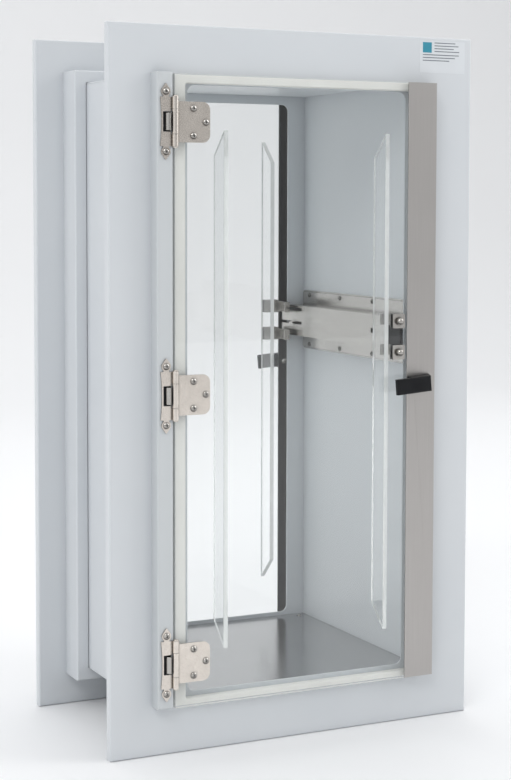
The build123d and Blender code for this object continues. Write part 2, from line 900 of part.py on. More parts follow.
with BuildPart() as interlock_springs:
    for start in (spring_front, spring_rear):
        coil_start = start + spring_wire_radius
        with BuildLine() as coil:
            Helix(
                spring_pitch,
                spring_length - 2 * spring_wire_radius,
                spring_radius,
                center=(bar_x, coil_start, bar_z),
                direction=(0, 1, 0),
            )
        with BuildSketch(Plane(origin=coil.line @ 0, z_dir=coil.line % 0)) as wire:
            Circle(spring_wire_radius)
        sweep(wire.sketch, path=coil.line, is_frenet=True)
keep(interlock_springs.part, "interlock_springs")
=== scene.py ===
import logging
import math
from collections.abc import Callable
from dataclasses import dataclass
from enum import Enum
from functools import cached_property
from itertools import pairwise

import bmesh
import bpy
from mathutils import Matrix, Vector


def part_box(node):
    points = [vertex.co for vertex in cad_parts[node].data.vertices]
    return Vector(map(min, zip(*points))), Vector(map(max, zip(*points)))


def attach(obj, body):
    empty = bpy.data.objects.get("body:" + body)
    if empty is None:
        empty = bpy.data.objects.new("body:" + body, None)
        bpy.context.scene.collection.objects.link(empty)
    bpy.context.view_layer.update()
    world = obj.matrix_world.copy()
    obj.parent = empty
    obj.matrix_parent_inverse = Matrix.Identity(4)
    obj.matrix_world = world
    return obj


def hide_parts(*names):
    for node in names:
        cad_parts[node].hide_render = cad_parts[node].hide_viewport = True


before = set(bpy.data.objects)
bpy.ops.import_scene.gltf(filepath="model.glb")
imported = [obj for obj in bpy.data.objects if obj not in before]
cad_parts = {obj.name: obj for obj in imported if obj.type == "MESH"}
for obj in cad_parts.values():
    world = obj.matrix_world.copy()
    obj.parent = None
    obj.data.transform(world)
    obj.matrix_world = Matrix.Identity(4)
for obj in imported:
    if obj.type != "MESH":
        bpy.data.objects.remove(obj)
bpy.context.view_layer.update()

MM = 0.001
WELD = 0.002 * MM  # vertices closer than this are one
NEAR = 0.1 * MM  # a point this close to a plane lies on it
PAST = 1 * MM  # how far a cutter reaches past what it cuts
FLAT_ANGLE = math.radians(0.6)  # faces that turn less than this are one
SMOOTH_ANGLE = math.radians(32)  # edges that turn more than this are shaded sharp
ROUNDED_ANGLE = math.radians(34)  # edges that turn more than this are rounded
log = logging.getLogger("pass_through_cabinet")
Colour = tuple[float, float, float, float]
Point = tuple[float, float, float]
Piece = bpy.types.Object
Material = bpy.types.Material


class End(Enum):
    """The two ends of the cabinet, with the way each one faces along Y."""

    FRONT = ("front", -1.0)
    REAR = ("rear", 1.0)

    @property
    def word(self) -> str:
        """Word that starts the end's node names."""
        return self.value[0]

    @property
    def way(self) -> float:
        """Sign of Y on the way out of this end."""
        return self.value[1]


class Grain(Enum):
    """Way that brushed sheet is rubbed: the pattern's stretch along X, Y and Z."""

    ALONG_Y = (1.0, 0.006, 1.0)
    ALONG_Z = (1.0, 1.0, 0.006)


# ---- Bench: the few modelling steps that every piece shares ---------------------------------
def deselect() -> None:
    """Leave edit mode and select nothing."""
    if bpy.context.object and bpy.context.object.mode != "OBJECT":
        bpy.ops.object.mode_set(mode="OBJECT")
    bpy.ops.object.select_all(action="DESELECT")


def pick(piece: Piece) -> None:
    """Select one object alone and make it active."""
    deselect()
    piece.select_set(True)
    bpy.context.view_layer.objects.active = piece


def new_piece(name: str) -> Piece:
    """Name the primitive that was just added and return it."""
    piece = bpy.context.object
    piece.name = name
    piece.data.name = name
    return piece


def edit_all(piece: Piece) -> None:
    """Open a piece in edit mode with all of it selected."""
    pick(piece)
    bpy.ops.object.mode_set(mode="EDIT")
    bpy.ops.mesh.select_mode(type="VERT")
    bpy.ops.mesh.select_all(action="SELECT")


def apply_modifier(piece: Piece, kind: str, **values: object) -> None:
    """Add a modifier, set it and apply it.

    Args:
        piece: The object it works on.
        kind: Blender's modifier type.
        values: The modifier's settings.
    """
    pick(piece)
    modifier = piece.modifiers.new(kind.title(), kind)
    for key, value in values.items():
        setattr(modifier, key, value)
    bpy.ops.object.modifier_apply(modifier=modifier.name)


def round_edges(piece: Piece, width: float, segments: int = 2) -> None:
    """Round a piece's sharp edges and smooth what lies between them.

    Args:
        piece: The object it works on.
        width: Width of the rounding, in metres.
        segments: Facets across it.
    """
    apply_modifier(
        piece,
        "BEVEL",
        width=width,
        segments=segments,
        limit_method="ANGLE",
        angle_limit=ROUNDED_ANGLE,
        miter_outer="MITER_ARC",
    )
    smooth(piece)
    apply_modifier(piece, "WEIGHTED_NORMAL", mode="FACE_AREA", weight=100, keep_sharp=True)


def smooth(piece: Piece) -> None:
    """Shade a piece smooth, with its sharp edges kept."""
    pick(piece)
    bpy.ops.object.shade_smooth_by_angle(angle=SMOOTH_ANGLE)


def block(name: str, low: Point, high: Point) -> Piece:
    """Closed box between two corners.

    Args:
        name: Name of the piece.
        low: Its lowest corner.
        high: Its highest corner.

    Returns:
        The box, with its place in its mesh.
    """
    deselect()
    bpy.ops.mesh.primitive_cube_add(size=1.0)
    piece = new_piece(name)
    edit_all(piece)
    size = [b - a for a, b in zip(low, high)]
    bpy.ops.transform.resize(value=size)
    bpy.ops.transform.translate(value=[(a + b) / 2 for a, b in zip(low, high)])
    bpy.ops.object.mode_set(mode="OBJECT")
    return piece


def start_point(name: str, place: Point) -> Piece:
    """New piece of one vertex, left open in edit mode."""
    deselect()
    bpy.ops.mesh.primitive_plane_add(size=1.0)
    piece = new_piece(name)
    edit_all(piece)
    bpy.ops.mesh.merge(type="CENTER")
    bpy.ops.transform.translate(value=place)
    return piece


def lathe(name: str, profile: list[tuple[float, float]], steps: int) -> Piece:
    """Turn a profile about Z.

    Args:
        name: Name of the piece.
        profile: Radius and height of each point, from one end of the axis to the other.
        steps: Facets round the axis.

    Returns:
        The turned piece, closed where the profile meets the axis.
    """
    piece = start_point(name, (profile[0][0], 0, profile[0][1]))
    for here, there in pairwise(profile):
        step = (there[0] - here[0], 0, there[1] - here[1])
        bpy.ops.mesh.extrude_vertices_move(TRANSFORM_OT_translate={"value": step})
    bpy.ops.mesh.select_all(action="SELECT")
    bpy.ops.mesh.spin(steps=steps, angle=math.tau, center=(0, 0, 0), axis=(0, 0, 1))
    bpy.ops.mesh.select_all(action="SELECT")
    bpy.ops.mesh.remove_doubles(threshold=WELD / 2)
    bpy.ops.mesh.normals_make_consistent(inside=False)
    bpy.ops.object.mode_set(mode="OBJECT")
    return piece


def strip(name: str, start: Point, across: Point, steps: list[Point]) -> Piece:
    """Strip of faces that an edge leaves as it moves.

    Args:
        name: Name of the piece.
        start: One end of the edge.
        across: The way from that end to the other.
        steps: The edge's moves, in order.

    Returns:
        The strip, with no thickness.
    """
    piece = start_point(name, start)
    bpy.ops.mesh.extrude_vertices_move(TRANSFORM_OT_translate={"value": across})
    bpy.ops.mesh.select_all(action="SELECT")
    for step in steps:
        bpy.ops.mesh.extrude_region_move(TRANSFORM_OT_translate={"value": step})
    bpy.ops.object.mode_set(mode="OBJECT")
    return piece


def select_where(piece: Piece, kind: str, test: Callable[..., bool]) -> None:
    """Open a piece in edit mode with only what passes a test selected.

    Args:
        piece: The object it works on.
        kind: VERT or EDGE.
        test: Takes the place of a vertex, or the places of an edge's two ends.
    """
    edit_all(piece)
    bpy.ops.mesh.select_mode(type=kind)
    bpy.ops.mesh.select_all(action="DESELECT")
    bpy.ops.object.mode_set(mode="OBJECT")
    vertices = piece.data.vertices
    if kind == "VERT":
        for vertex in vertices:
            vertex.select = test(vertex.co)
    else:
        for edge in piece.data.edges:
            edge.select = test(*(vertices[index].co for index in edge.vertices))
    bpy.ops.object.mode_set(mode="EDIT")


def soften(
    piece: Piece, test: Callable[[Vector, Vector], bool], width: float, segments: int
) -> None:
    """Round the edges of a piece that pass a test.

    Args:
        piece: The object it works on.
        test: Takes an edge's two ends and says whether it is rounded.
        width: Radius of the rounding, in metres.
        segments: Facets across it.
    """
    select_where(piece, "EDGE", test)
    bpy.ops.mesh.bevel(offset=width, segments=segments)
    bpy.ops.object.mode_set(mode="OBJECT")


def coat_faces(piece: Piece, material: Material, test: Callable[[Vector], bool]) -> None:
    """Give the faces whose normal passes a test a second finish."""
    piece.data.materials.append(material)
    index = len(piece.data.materials) - 1
    for face in piece.data.polygons:
        if test(face.normal):
            face.material_index = index


def joined(name: str, pieces: list[Piece]) -> Piece:
    """Join pieces into the first of them and rename it."""
    pick(pieces[0])
    for piece in pieces[1:]:
        piece.select_set(True)
    if len(pieces) > 1:
        bpy.ops.object.join()
    return new_piece(name)


def cut_out(piece: Piece, cutter: Piece) -> None:
    """Cut one piece's shape out of another and throw the cutter away."""
    apply_modifier(piece, "BOOLEAN", operation="DIFFERENCE", solver="EXACT", object=cutter)
    bpy.data.objects.remove(cutter)


def placed_copy(piece: Piece, place: Matrix) -> Piece:
    """Copy of a piece with its own mesh, moved to a place."""
    twin = piece.copy()
    twin.data = piece.data.copy()
    twin.data.transform(place)
    bpy.context.collection.objects.link(twin)
    return twin


def refined(node: str, width: float, segments: int = 2) -> Piece:
    """Copy of a CAD node with its faces merged and its sharp edges rounded.

    Args:
        node: The CAD node.
        width: Width of the rounding, in metres.
        segments: Facets across it.

    Returns:
        The copy, named after the node.
    """
    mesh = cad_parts[node].data.copy()
    mesh.materials.clear()
    piece = bpy.data.objects.new(f"{node}_edged", mesh)
    bpy.context.collection.objects.link(piece)
    edit_all(piece)
    bpy.ops.mesh.customdata_custom_splitnormals_clear()
    bpy.ops.mesh.remove_doubles(threshold=WELD)
    bpy.ops.mesh.dissolve_limited(angle_limit=FLAT_ANGLE)
    bpy.ops.object.mode_set(mode="OBJECT")
    round_edges(piece, width, segments)
    return piece


def solid_boxes(node: str) -> list[tuple[Vector, Vector]]:
    """Lowest and highest corner of each separate solid of a CAD node."""
    mesh = bmesh.new()
    mesh.from_mesh(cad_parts[node].data)
    bmesh.ops.remove_doubles(mesh, verts=mesh.verts, dist=WELD)
    boxes = []
    left = set(mesh.verts)
    while left:
        start = left.pop()
        found, edge_of_search = [start], [start]
        while edge_of_search:
            vert = edge_of_search.pop()
            for link in vert.link_edges:
                other = link.other_vert(vert)
                if other in left:
                    left.discard(other)
                    found.append(other)
                    edge_of_search.append(other)
        low = Vector([min(v.co[i] for v in found) for i in range(3)])
        high = Vector([max(v.co[i] for v in found) for i in range(3)])
        boxes.append((low, high))
    mesh.free()
    return sorted(boxes, key=lambda box: (round(box[0].z, 4), round(box[0].x, 4), box[0].y))


# ---- Finishes -------------------------------------------------------------------------------
Inputs = dict[int | str, object]
Socket = bpy.types.NodeSocket
# Places of the colour sockets on a Mix node, which has others of the same name.
MIX_SHARE, MIX_FIRST, MIX_SECOND, MIX_RESULT = 0, 6, 7, 2


@dataclass(frozen=True)
class Pattern:
    """Noise: features per metre, octaves, strength of the fine ones, scale along each axis."""

    scale: float
    detail: float = 3.0
    rough: float = 0.5
    stretch: Point = (1, 1, 1)


@dataclass(frozen=True)
class Touch:
    """Second colour in corners or on edges: how far it reaches, its share, the colour."""

    reach: float
    share: float
    colour: Colour


def plug(tree: bpy.types.NodeTree, node: bpy.types.Node, inputs: Inputs) -> None:
    """Set each of a node's inputs to a value, or link a socket to it."""
    for key, value in inputs.items():
        if isinstance(value, Socket):
            tree.links.new(value, node.inputs[key])
        else:
            node.inputs[key].default_value = value


def add_node(
    tree: bpy.types.NodeTree, kind: str, inputs: Inputs, **settings: object
) -> bpy.types.Node:
    """Add a shader node.

    Args:
        tree: The tree that it goes into.
        kind: Blender's node type, without the ShaderNode that it starts with.
        inputs: A value or a socket for each input.
        settings: The node's own settings, such as operation.

    Returns:
        The node.
    """
    node = tree.nodes.new(f"ShaderNode{kind}")
    for key, value in settings.items():
        setattr(node, key, value)
    plug(tree, node, inputs)
    return node


class Graph:
    """Shader nodes of one finish, round a Principled shader."""

    def __init__(self, name: str) -> None:
        """Start a material with a Principled shader and Object coordinates.

        Args:
            name: Name of the material.
        """
        self.material = bpy.data.materials.new(name)
        self.material.use_nodes = True
        self.tree = self.material.node_tree
        self.tree.nodes.clear()
        self.shader = self.add("BsdfPrincipled", {})
        self.output = self.add("OutputMaterial", {"Surface": self.shader.outputs["BSDF"]})
        self.coordinates = self.add("TexCoord", {}).outputs["Object"]

    def add(self, kind: str, inputs: Inputs, **settings: object) -> bpy.types.Node:
        """Add a node to this finish."""
        return add_node(self.tree, kind, inputs, **settings)

    def noise(self, pattern: Pattern) -> Socket:
        """Noise on Object coordinates."""
        mapping = self.add("Mapping", {"Vector": self.coordinates, "Scale": pattern.stretch})
        inputs = {
            "Vector": mapping.outputs["Vector"],
            "Scale": pattern.scale,
            "Detail": pattern.detail,
            "Roughness": pattern.rough,
        }
        return self.add("TexNoise", inputs).outputs["Fac"]

    def cells(self, scale: float) -> Socket:
        """Distance to the nearest of scattered cell centres, scale of them per metre."""
        inputs = {"Vector": self.coordinates, "Scale": scale}
        return self.add("TexVoronoi", inputs).outputs["Distance"]

    def spread(
        self, value: Socket, low: float, high: float, start: float = 0.3, stop: float = 0.7
    ) -> Socket:
        """Value moved from start..stop to low..high, and held between them."""
        inputs = {"From Min": start, "From Max": stop, "To Min": low, "To Max": high}
        return self.add("MapRange", {"Value": value, **inputs}).outputs["Result"]

    def uneven(self, pattern: Pattern, low: float, high: float) -> Socket:
        """Noise spread from low to high."""
        return self.spread(self.noise(pattern), low, high)

    def mix(self, share: Socket, first: Colour | Socket, second: Colour | Socket) -> Socket:
        """Mix of two colours, where share says how much of the second shows."""
        inputs = {MIX_SHARE: share, MIX_FIRST: first, MIX_SECOND: second}
        return self.add("Mix", inputs, data_type="RGBA").outputs[MIX_RESULT]

    def blotched(
        self, pattern: Pattern, base: Colour | Socket, colour: Colour, share: float = 1.0
    ) -> Socket:
        """Base with blotches of a second colour, up to that share."""
        return self.mix(self.uneven(pattern, 0.0, share), base, colour)

    def bump(self, height: Socket, depth: float, strength: float) -> Socket:
        """Normal bumped by a pattern of that depth in metres, of which strength shows."""
        inputs = {"Height": height, "Distance": depth, "Strength": strength}
        return self.add("Bump", inputs).outputs["Normal"]

    def corner_shaded(self, base: Colour | Socket, dust: Touch) -> Socket:
        """Base with painted shade in its corners: all its share at the closest, none in the open.
        """
        # Ambient occlusion finds the corners where shade falls; the mix paints that shade into the
        # colour.
        light = self.add("AmbientOcclusion", {"Distance": dust.reach}, samples=6)
        share = self.spread(light.outputs["AO"], dust.share, 0.0, 0.35, 0.95)
        return self.mix(share, base, dust.colour)

    def rubbed(self, base: Colour | Socket, wear: Touch, start: float = 0.1) -> Socket:
        """Base with wear on its sharp edges, from where they are as sharp as start."""
        bevel = self.add("Bevel", {"Radius": wear.reach}, samples=4)
        normals = {0: bevel.outputs["Normal"], 1: self.add("NewGeometry", {}).outputs["Normal"]}
        compare = self.add("VectorMath", normals, operation="DOT_PRODUCT")
        edges = self.spread(compare.outputs["Value"], 1.0, 0.0, 0.72, 0.99)
        return self.mix(self.spread(edges, 0.0, wear.share, start, 1.0), base, wear.colour)

    def underside(self, strength: float) -> Socket:
        """Share that grows where a surface looks down, up to that strength: the mask for painted
        shade underneath.
        """
        normal = self.add("NewGeometry", {}).outputs["Normal"]
        split = self.add("SeparateXYZ", {"Vector": normal})
        return self.spread(split.outputs["Z"], strength, 0.0, -0.6, 0.15)

    def grazing_shade(self, strength: float) -> Socket:
        """Share that grows where a surface turns away from the view, up to that strength: the mask
        for painted shade at grazing angles.
        """
        weight = self.add("LayerWeight", {"Blend": 0.35})
        return self.spread(weight.outputs["Facing"], 0.0, strength, 0.25, 0.85)

    def finish(self, **values: object) -> Material:
        """Plug values or patterns into the shader, such as base_color; return the material."""
        for key, value in values.items():
            socket = key.replace("_", " ").title().replace("Ior", "IOR")
            plug(self.tree, self.shader, {socket: value})
        return self.material


@dataclass(frozen=True)
class PowderCoat:
    """Fine powder coat: faint orange peel, soft mottling, rubbed edges, painted shade in corners.
    """

    name: str = "powder_coat"
    colour: Colour = (0.675, 0.697, 0.718, 1)
    shade: Colour = (0.642, 0.668, 0.694, 1)
    slot: str = "painted_steel"
    mottle: Pattern = Pattern(5.0, 4.0, 0.6)
    # Painted shade: a soft blue-grey darkening up to 12 mm out of corners.
    dust: Touch = Touch(12 * MM, 0.30, (0.42, 0.45, 0.49, 1))
    wear: Touch = Touch(1.1 * MM, 0.55, (0.86, 0.875, 0.885, 1))
    gloss: Pattern = Pattern(38.0, 4.0, 0.65)
    rough: tuple[float, float] = (0.31, 0.43)
    peel: Pattern = Pattern(620.0, 2.0)
    peel_depth: float = 0.03 * MM

    def make(self) -> Material:
        """Build the material."""
        graph = Graph(self.name)
        base = graph.blotched(self.mottle, self.colour, self.shade)
        # Painted shade in the corners first, then wear on the edges.
        base = graph.rubbed(graph.corner_shaded(base, self.dust), self.wear)
        return graph.finish(
            specular_ior_level=0.5,
            coat_weight=0.12,
            coat_roughness=0.22,
            base_color=base,
            roughness=graph.uneven(self.gloss, *self.rough),
            normal=graph.bump(graph.noise(self.peel), self.peel_depth, 0.35),
        )


@dataclass(frozen=True)
class BrushedSheet:
    """Brushed stainless sheet with a grain, faint smears, bright edges and painted shade in its
    corners.
    """

    name: str
    grain: Grain
    colour: Colour = (0.50, 0.48, 0.465, 1)
    shade: Colour = (0.455, 0.435, 0.42, 1)
    rough: float = 0.27
    slot: str = "stainless_steel"
    line_scale: float = 2400.0
    line_depth: float = 0.01 * MM
    fine_scale: float = 3600.0
    smear: Pattern = Pattern(11.0, 4.0, 0.62)
    # Painted shade: near-black darkening up to 4 mm out of corners.
    dust: Touch = Touch(4 * MM, 0.6, (0.10, 0.10, 0.10, 1))
    wear: Touch = Touch(0.5 * MM, 0.6, (0.78, 0.77, 0.76, 1))

    def make(self) -> Material:
        """Build the material."""
        graph = Graph(self.name)
        lines = graph.noise(Pattern(self.line_scale, 3.0, 0.6, self.grain.value))
        fine = Pattern(self.fine_scale, 2.0, 0.6, self.grain.value)
        base = graph.mix(graph.spread(lines, 0.0, 1.0), self.colour, self.shade)
        base = graph.blotched(self.smear, base, self.shade, 0.6)
        # Painted shade in the corners first, then wear on the edges.
        base = graph.rubbed(graph.corner_shaded(base, self.dust), self.wear)
        return graph.finish(
            metallic=1.0,
            anisotropic=0.35,
            base_color=base,
            roughness=graph.uneven(fine, self.rough - 0.04, self.rough + 0.05),
            normal=graph.bump(lines, self.line_depth, 0.2),
        )


@dataclass(frozen=True)
class PlatedMetal:
    """Plated or turned metal: fine grain, small marks, dull patches, bright edges, and painted
    shade in corners, underneath and where it turns away.
    """

    name: str
    colour: Colour
    # Colour of the dull tarnish patches, and of the painted shade where the surface turns away.
    tarnish_and_shade: Colour
    rough: float
    grain: float = 1500.0
    # Strength of the painted shade where the surface turns away.
    grazing_shade: float = 0.8
    # Strength of the painted shade on faces that look down, such as the lower side of a screw
    # head.
    underside_shade: float = 0.0
    slot: str = "bright_steel"
    # Colour of that painted shade underneath.
    underside_shade_colour: Colour = (0.05, 0.045, 0.04, 1)
    grain_depth: float = 0.02 * MM
    patches: Pattern = Pattern(110.0, 4.0, 0.6)
    # Painted shade: near-black darkening up to 3 mm out of corners and recesses, such as a screw's
    # cross.
    dust: Touch = Touch(3 * MM, 0.85, (0.06, 0.055, 0.05, 1))
    wear: Touch = Touch(0.3 * MM, 0.35, (0.9, 0.88, 0.85, 1))

    def make(self) -> Material:
        """Build the material."""
        graph = Graph(self.name)
        base = graph.blotched(self.patches, self.colour, self.tarnish_and_shade, 0.16)
        # Painted shade in corners and recesses.
        base = graph.corner_shaded(base, self.dust)
        # Painted shade: darker towards the tarnish colour where the surface turns away, as on the
        # sides of a barrel or dome.
        base = graph.mix(graph.grazing_shade(self.grazing_shade), base, self.tarnish_and_shade)
        # Painted shade on faces that look down.
        base = graph.mix(graph.underside(self.underside_shade), base, self.underside_shade_colour)
        grain = graph.noise(Pattern(self.grain, 3.0, 0.6))
        return graph.finish(
            metallic=1.0,
            base_color=graph.rubbed(base, self.wear),
            roughness=graph.spread(grain, self.rough - 0.05, self.rough + 0.09),
            normal=graph.bump(grain, self.grain_depth, 0.35),
        )


@dataclass(frozen=True)
class ClearSheet:
    """Clear polished acrylic: hairline scratches, faint handling haze, lamps shine through."""

    name: str = "clear_acrylic"
    tint: Colour = (0.985, 0.992, 0.99, 1)
    clear: float = 1.0
    slot: str = "clear_acrylic"
    hazy_tint: Colour = (0.97, 0.98, 0.98, 1)
    lamp_tint: Colour = (0.94, 0.95, 0.95, 1)
    handling: Pattern = Pattern(9.0, 5.0, 0.6)
    haze: float = 0.035
    scratches: Pattern = Pattern(420.0, 2.0, 0.5, (1.0, 1.0, 0.04))
    scratch_depth: float = 0.004 * MM

    def make(self) -> Material:
        """Build the material, which diffuse and shadow rays pass as if it were air."""
        graph = Graph(self.name)
        haze = graph.uneven(self.handling, 0.0, self.haze)
        graph.finish(
            transmission_weight=self.clear,
            ior=1.49,
            base_color=graph.mix(
                graph.spread(haze, 0.0, 1.0, 0.0, 0.06), self.tint, self.hazy_tint
            ),
            roughness=haze,
            normal=graph.bump(graph.noise(self.scratches), self.scratch_depth, 0.12),
        )
        ray = graph.add("LightPath", {}).outputs
        rays = {0: ray["Is Shadow Ray"], 1: ray["Is Diffuse Ray"]}
        either = graph.add("Math", rays, operation="MAXIMUM")
        clear = graph.add("BsdfTransparent", {"Color": self.lamp_tint})
        shaders = {1: graph.shader.outputs["BSDF"], 2: clear.outputs["BSDF"]}
        choice = graph.add("MixShader", {"Fac": either.outputs["Value"], **shaders})
        plug(graph.tree, graph.output, {"Surface": choice.outputs["Shader"]})
        return graph.material


@dataclass(frozen=True)
class SealFoam:
    """Off-white closed-cell seal with a fine open skin."""

    name: str = "seal_foam"
    colour: Colour = (0.86, 0.845, 0.805, 1)
    shade: Colour = (0.76, 0.745, 0.705, 1)
    slot: str = "seal_rubber"
    mottle: Pattern = Pattern(24.0, 4.0)
    gloss: Pattern = Pattern(300.0)
    cell_scale: float = 1500.0
    cell_depth: float = 0.12 * MM

    def make(self) -> Material:
        """Build the material."""
        graph = Graph(self.name)
        cells = graph.cells(self.cell_scale)
        base = graph.blotched(self.mottle, self.colour, self.shade, 0.6)
        return graph.finish(
            specular_ior_level=0.3,
            sheen_weight=0.15,
            sheen_roughness=0.5,
            base_color=graph.mix(graph.spread(cells, 0.22, 0.0, 0.0, 0.5), base, self.shade),
            roughness=graph.uneven(self.gloss, 0.6, 0.78),
            normal=graph.bump(cells, self.cell_depth, 0.4),
        )


@dataclass(frozen=True)
class MouldedPlastic:
    """Black moulded plastic with a spark-eroded skin and handled, polished edges."""

    name: str = "black_moulding"
    colour: Colour = (0.006, 0.0063, 0.0075, 1)
    worn: Colour = (0.026, 0.027, 0.03, 1)
    slot: str = "black_plastic"
    edge_reach: float = 1.2 * MM
    mottle: Pattern = Pattern(60.0, 4.0)
    gloss: Pattern = Pattern(90.0)
    skin: Pattern = Pattern(1900.0, 3.0, 0.6)
    skin_depth: float = 0.05 * MM

    def make(self) -> Material:
        """Build the material."""
        graph = Graph(self.name)
        base = graph.rubbed(self.colour, Touch(self.edge_reach, 0.7, self.worn), 0.0)
        return graph.finish(
            specular_ior_level=0.18,
            base_color=graph.blotched(self.mottle, base, self.worn, 0.25),
            roughness=graph.uneven(self.gloss, 0.36, 0.50),
            normal=graph.bump(graph.noise(self.skin), self.skin_depth, 0.45),
        )


@dataclass(frozen=True)
class PrintedFilm:
    """Plain vinyl label with a colour of its own and a soft satin skin."""

    name: str
    colour: Colour
    shade: Colour
    slot: str = "painted_steel"
    mottle: Pattern = Pattern(45.0, 4.0)
    gloss: Pattern = Pattern(160.0)
    skin: Pattern = Pattern(700.0, 2.0)
    skin_depth: float = 0.02 * MM

    def make(self) -> Material:
        """Build the material."""
        graph = Graph(self.name)
        return graph.finish(
            specular_ior_level=0.45,
            base_color=graph.blotched(self.mottle, self.colour, self.shade),
            roughness=graph.uneven(self.gloss, 0.3, 0.42),
            normal=graph.bump(graph.noise(self.skin), self.skin_depth, 0.3),
        )


@dataclass(frozen=True)
class StudioPaper:
    """Matt white studio paper."""

    name: str = "studio_paper"
    colour: Colour = (0.95, 0.95, 0.955, 1)
    shade: Colour = (0.935, 0.935, 0.94, 1)
    mottle: Pattern = Pattern(1.5)
    gloss: Pattern = Pattern(30.0)

    def make(self) -> Material:
        """Build the material."""
        graph = Graph(self.name)
        return graph.finish(
            specular_ior_level=0.2,
            base_color=graph.blotched(self.mottle, self.colour, self.shade),
            roughness=graph.uneven(self.gloss, 0.5, 0.6),
        )


class Finish(Enum):
    """The finishes that the cabinet's pieces share."""

    PAINT = PowderCoat()
    STILE_PAINT = PowderCoat("stile_powder_coat", (0.60, 0.625, 0.635, 1), (0.57, 0.595, 0.61, 1))
    LINER_PAINT = PowderCoat("liner_powder_coat", (0.78, 0.80, 0.815, 1), (0.75, 0.775, 0.795, 1))
    STEEL_Y = BrushedSheet(
        "brushed_along_depth", Grain.ALONG_Y, (0.62, 0.605, 0.575, 1), (0.53, 0.515, 0.49, 1), 0.22
    )
    STEEL_Z = BrushedSheet("brushed_upright", Grain.ALONG_Z, rough=0.42)
    FLOOR = BrushedSheet(
        "floor_sheet", Grain.ALONG_Y, (0.56, 0.56, 0.565, 1), (0.49, 0.49, 0.495, 1), 0.2
    )
    NICKEL = PlatedMetal(
        "satin_nickel", (0.80, 0.735, 0.67, 1), (0.26, 0.23, 0.20, 1), 0.25, slot="nickel_plate"
    )
    BRIGHT = PlatedMetal("bright_steel", (0.80, 0.78, 0.75, 1), (0.52, 0.50, 0.47, 1), 0.16)
    SPRING = PlatedMetal(
        "spring_steel", (0.52, 0.50, 0.47, 1), (0.18, 0.17, 0.16, 1), 0.22, slot="nickel_plate"
    )
    # For the two screw finishes the last three numbers are the grain, the strength of the painted
    # shade where the dome turns away, and of the painted shade on faces that look down.
    SCREW = PlatedMetal(
        "zinc_screw", (0.62, 0.595, 0.56, 1), (0.12, 0.11, 0.10, 1), 0.18, 900.0, 1.0, 0.9
    )
    DARK_SCREW = PlatedMetal(
        "dark_zinc_screw", (0.30, 0.29, 0.27, 1), (0.07, 0.065, 0.06, 1), 0.2, 900.0, 1.0, 0.9
    )
    CLEAR = ClearSheet()
    # Edge faces let only half the light through and show the rest near-white: painted brightness
    # for the light that the acrylic's edges carry.
    CLEAR_EDGE = ClearSheet("acrylic_edge_painted_brightness", (0.99, 0.99, 0.97, 1), 0.5)
    SEAL = SealFoam()
    BLACK = MouldedPlastic()
    MAGNET = MouldedPlastic("magnet_strip", (0.07, 0.068, 0.066, 1), (0.11, 0.107, 0.104, 1))
    FILM = PrintedFilm("label_film", (0.72, 0.745, 0.77, 1), (0.69, 0.715, 0.74, 1))
    INK = PrintedFilm("label_ink", (0.20, 0.22, 0.24, 1), (0.16, 0.18, 0.2, 1))
    BAND = PrintedFilm("label_band", (0.05, 0.31, 0.42, 1), (0.04, 0.27, 0.37, 1))

    @cached_property
    def material(self) -> Material:
        """Its material, built at its first use."""
        return self.value.make()


def dress_node(node: str, finish: Finish) -> None:
    """Give a CAD node a finish and keep its shape."""
    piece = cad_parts[node]
    for place in piece.material_slots:
        place.material = finish.material
    log.info("dressed %s in %s", node, finish.material.name)


def dress_piece(piece: Piece, finish: Finish, body: str, nodes: tuple[str, ...] = ()) -> Piece:
    """Give a new piece its finish and its body, and hide the nodes it stands for.

    Args:
        piece: The piece.
        finish: Its finish.
        body: CAD body that it moves with.
        nodes: CAD nodes that it replaces.

    Returns:
        The piece.
    """
    piece.data.materials.clear()
    piece.data.materials.append(finish.material)
    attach(piece, body)
    if nodes:
        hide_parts(*nodes)
    log.info("built %s on %s, for %s", piece.name, body, ", ".join(nodes) or "detail")
    return piece


def dress_refined(node: str, width: float, finish: Finish, body: str, segments: int = 2) -> Piece:
    """Put a dressed copy with rounded edges in a CAD node's place.

    Args:
        node: The CAD node.
        width: Width of the rounding, in metres.
        finish: The copy's finish.
        body: CAD body that it moves with.
        segments: Facets across the rounding.

    Returns:
        The copy.
    """
    return dress_piece(refined(node, width, segments), finish, body, (node,))


